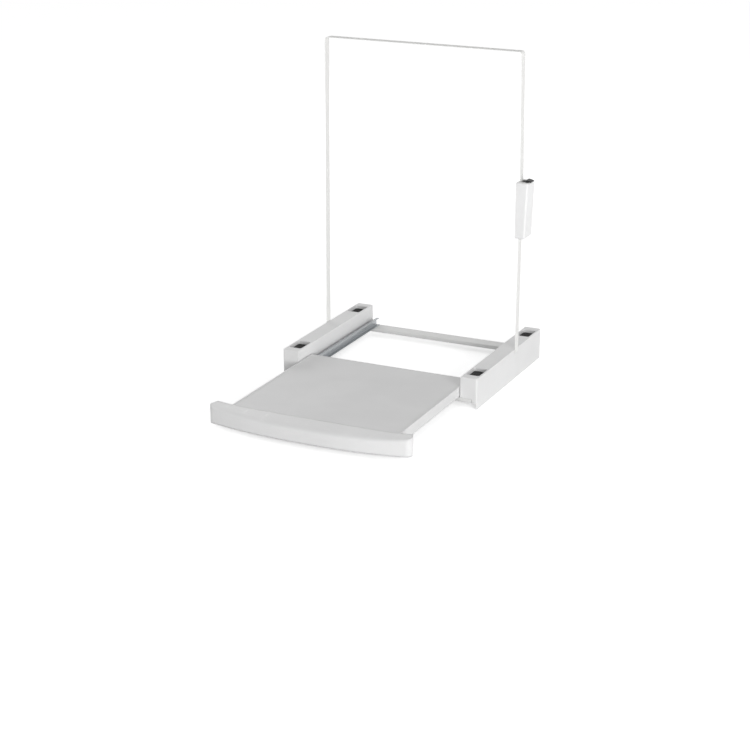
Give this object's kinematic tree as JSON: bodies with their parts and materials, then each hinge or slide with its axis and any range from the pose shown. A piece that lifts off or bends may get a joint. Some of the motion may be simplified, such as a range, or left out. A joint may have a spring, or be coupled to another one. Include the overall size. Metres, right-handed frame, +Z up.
{
  "type": "washer dryer stacking kit",
  "caption": "Stacking kit that seats a dryer on a washer, with skirted side members, a pull-out shelf on rollers, and a lashing strap with a cam tensioner.",
  "frame": {"origin": "on the plane where the kit rests on the lower machine, under the middle of the front crossbar", "axes": "+X to the right seen from the front, +Y to the rear, +Z up; the shelf pulls out towards -Y"},
  "size_m": [0.6397, 0.961, 0.9417],
  "materials": {
    "white_moulding": "satin",
    "white_fascia": "satin",
    "white_cover": "satin",
    "coated_tube": "satin",
    "zinc_steel": "satin",
    "steel_pins": "satin",
    "screws": "satin",
    "spring_steel": "satin",
    "rubber": "matte",
    "webbing": "matte",
    "roller_plastic": "satin",
    "black_plastic": "satin"
  },
  "bodies": {
    "frame": {"left_side_member": "white_moulding", "right_side_member": "white_moulding", "tensioner_cover": "white_cover", "front_crossbar": "coated_tube", "rear_crossbar": "coated_tube", "left_frame_rail": "zinc_steel", "right_frame_rail": "zinc_steel", "tensioner_back_plate": "zinc_steel", "buckle_frame": "zinc_steel", "front_roller_pins": "steel_pins", "left_anchor_pin": "steel_pins", "right_anchor_pin": "steel_pins", "strap_bar": "steel_pins", "cam_axle": "steel_pins", "buckle_rivets": "steel_pins", "crossbar_screws": "screws", "frame_rail_screws": "screws", "cover_screws": "screws", "cam_spring": "spring_steel", "left_grip_strip": "rubber", "right_grip_strip": "rubber", "front_grip_strip": "rubber", "rear_grip_strip": "rubber", "left_front_foot_pad": "rubber", "right_front_foot_pad": "rubber", "left_rear_foot_pad": "rubber", "right_rear_foot_pad": "rubber", "long_strap": "webbing", "short_strap": "webbing"},
    "shelf": {"shelf_deck": "white_moulding", "shelf_fascia": "white_fascia", "fascia_screws": "screws", "left_shelf_rail": "zinc_steel", "right_shelf_rail": "zinc_steel", "shelf_rail_screws": "screws", "rear_roller_pins": "steel_pins"},
    "left_front_roller": {"left_front_roller": "roller_plastic"},
    "right_front_roller": {"right_front_roller": "roller_plastic"},
    "left_rear_roller": {"left_rear_roller": "roller_plastic"},
    "right_rear_roller": {"right_rear_roller": "roller_plastic"},
    "cam_lever": {"cam_lever": "black_plastic"}
  },
  "joints": [
    {"name": "shelf_slide", "type": "slide", "parent": "frame", "child": "shelf", "axis": [0, 1, 0], "range_m": [0, 0.39]},
    {"name": "left_front_roller_spin", "type": "hinge", "parent": "frame", "child": "left_front_roller", "pos_m": [-0.2315, -0.004, 0.0272], "axis": [1, 0, 0], "range_deg": [-2440, 0]},
    {"name": "right_front_roller_spin", "type": "hinge", "parent": "frame", "child": "right_front_roller", "pos_m": [0.2315, -0.004, 0.0272], "axis": [1, 0, 0], "range_deg": [-2440, 0]},
    {"name": "left_rear_roller_spin", "type": "hinge", "parent": "shelf", "child": "left_rear_roller", "pos_m": [-0.2315, 0.045, 0.0249], "axis": [1, 0, 0], "range_deg": [-2440, 0]},
    {"name": "right_rear_roller_spin", "type": "hinge", "parent": "shelf", "child": "right_rear_roller", "pos_m": [0.2315, 0.045, 0.0249], "axis": [1, 0, 0], "range_deg": [-2440, 0]},
    {"name": "cam_release", "type": "hinge", "parent": "frame", "child": "cam_lever", "pos_m": [0.3153, 0.273, 0.515], "axis": [0, -1, 0], "range_deg": [0, 14], "stiffness_Nm_per_rad": 0.12, "springref_deg": -34.38, "deforming": ["cam_spring"]}
  ],
  "couplings": [
    {"joint": "left_front_roller_spin", "follows": "shelf_slide", "rad_per_m": -108.7},
    {"joint": "right_front_roller_spin", "follows": "shelf_slide", "rad_per_m": -108.7},
    {"joint": "left_rear_roller_spin", "follows": "shelf_slide", "rad_per_m": -108.7},
    {"joint": "right_rear_roller_spin", "follows": "shelf_slide", "rad_per_m": -108.7}
  ]
}
